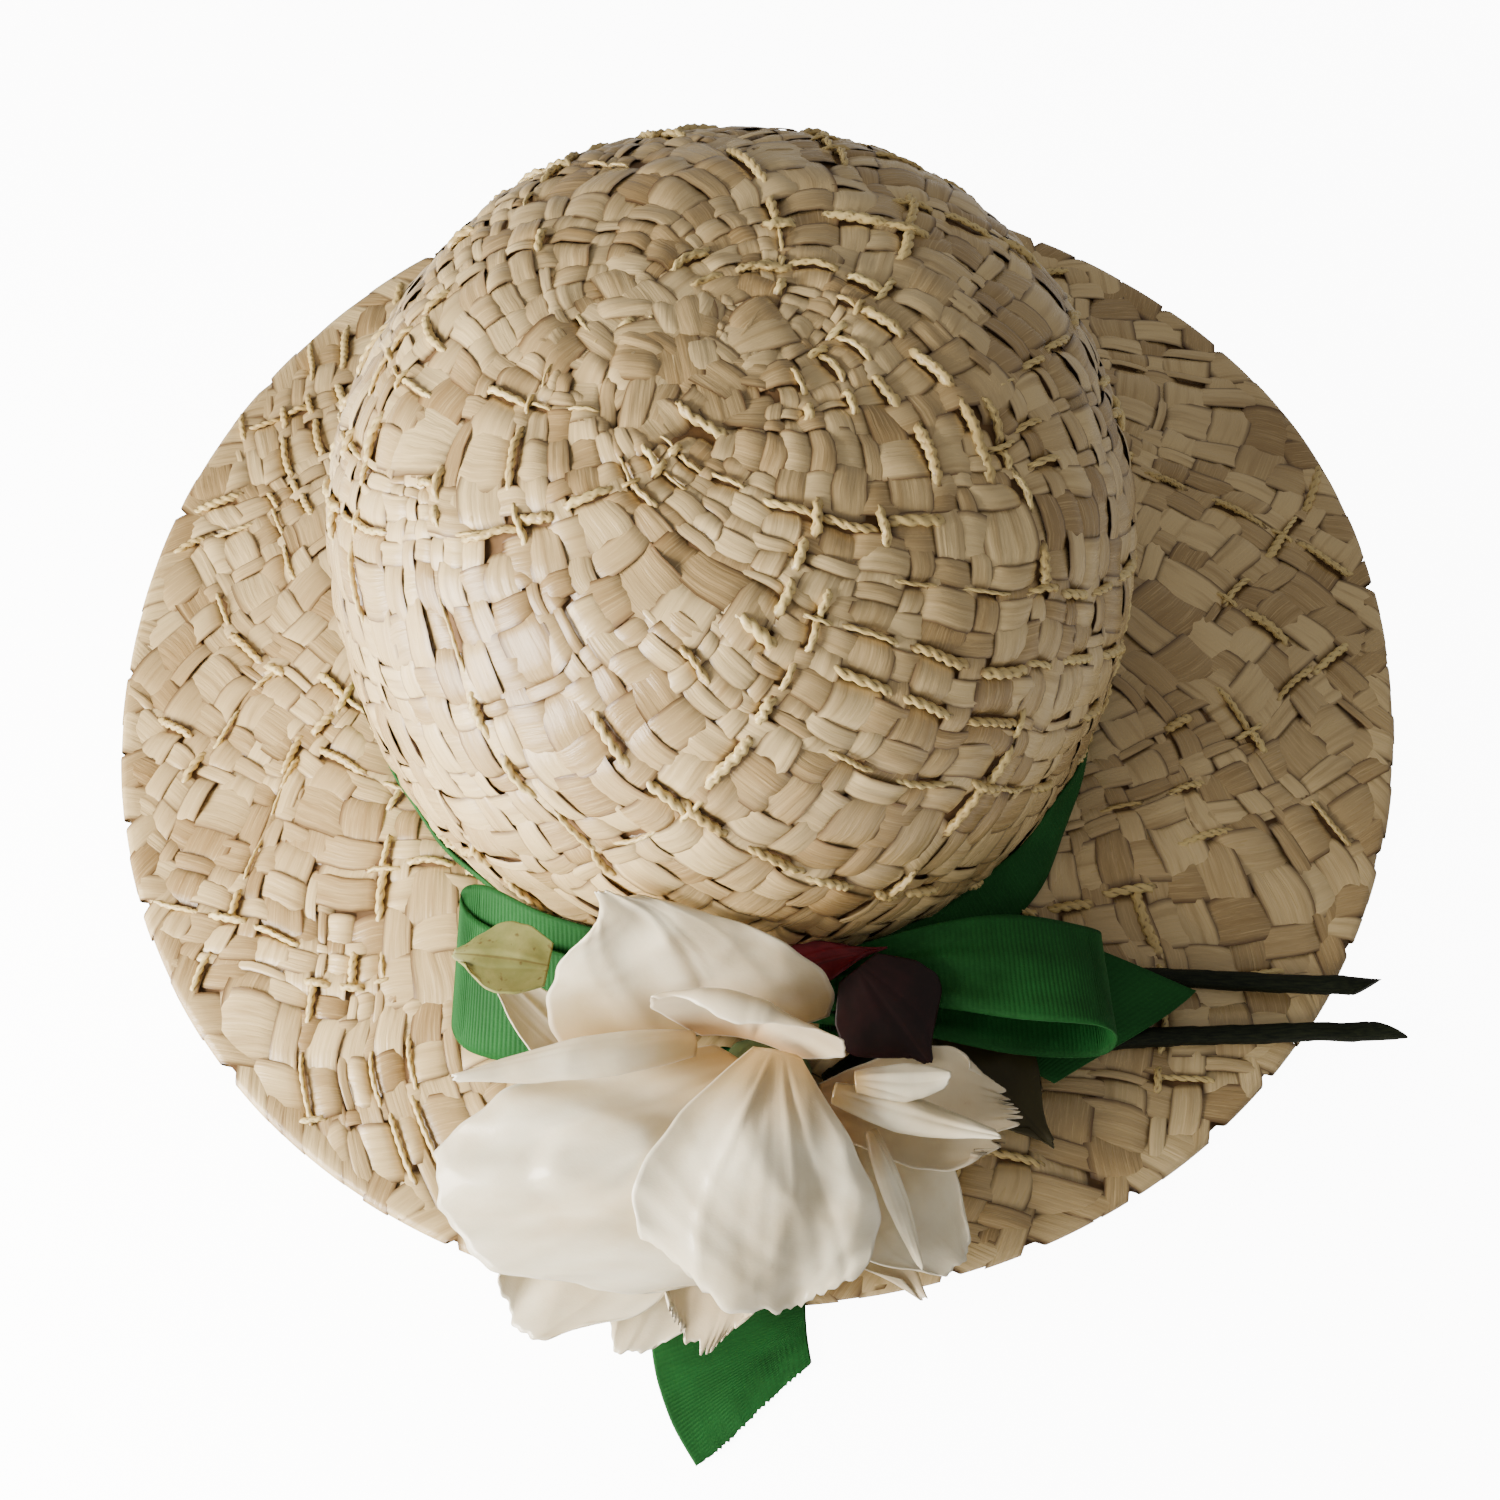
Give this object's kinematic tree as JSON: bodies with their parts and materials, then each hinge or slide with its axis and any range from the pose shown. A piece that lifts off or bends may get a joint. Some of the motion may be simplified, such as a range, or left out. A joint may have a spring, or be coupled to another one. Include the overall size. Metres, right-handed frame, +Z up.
{
  "type": "sun hat",
  "caption": "Woven straw sun hat with a rounded crown and a medium brim, a green ribbon band tied in a bow, and a cream cloth rose with leaves and stems.",
  "frame": {"origin": "middle of the whole part's box in plan, on the plane that the brim's edge rests on", "axes": "+Z up through the top of the crown, -Y towards the front of the hat, where the bow and the rose are, +X to the right as seen from the front"},
  "size_m": [0.343, 0.386, 0.138],
  "materials": {
    "straw": "woven flat natural straw, satin",
    "ribbon": "ribbed woven ribbon, dark green, slight sheen",
    "petal": "cream satin cloth with soft creases",
    "calyx": "matte green cloth over a stiff core",
    "leaf_red": "dark red satin cloth",
    "leaf_dark": "very dark maroon satin cloth",
    "leaf_olive": "dark olive satin cloth",
    "leaf_pale": "pale green mottled cloth",
    "stem": "wire wrapped in dark green tape, slightly glossy"
  },
  "bodies": {
    "root": {"crown_top": "straw", "crown_side": "straw", "brim": "straw", "ribbon_band": "ribbon", "bow_knot": "ribbon", "bow_loop_right": "ribbon", "bow_loop_left": "ribbon", "ribbon_tail_right": "ribbon", "ribbon_tail_front": "ribbon", "rose_calyx": "calyx", "petal_back": "petal", "petal_left": "petal", "petal_left_fold": "petal", "petal_heart": "petal", "petal_front_left": "petal", "petal_front_right": "petal", "petal_right_fold": "petal", "petal_right_curl": "petal", "petal_right_back": "petal", "petal_right_low": "petal", "petal_right_ridge": "petal", "petal_front_tip": "petal", "petal_low_left": "petal", "petal_low_centre": "petal", "petal_low_front": "petal", "leaf_red": "leaf_red", "leaf_dark": "leaf_dark", "leaf_olive": "leaf_olive", "leaf_pale": "leaf_pale", "stem_upper": "stem", "stem_lower": "stem"}
  },
  "joints": []
}
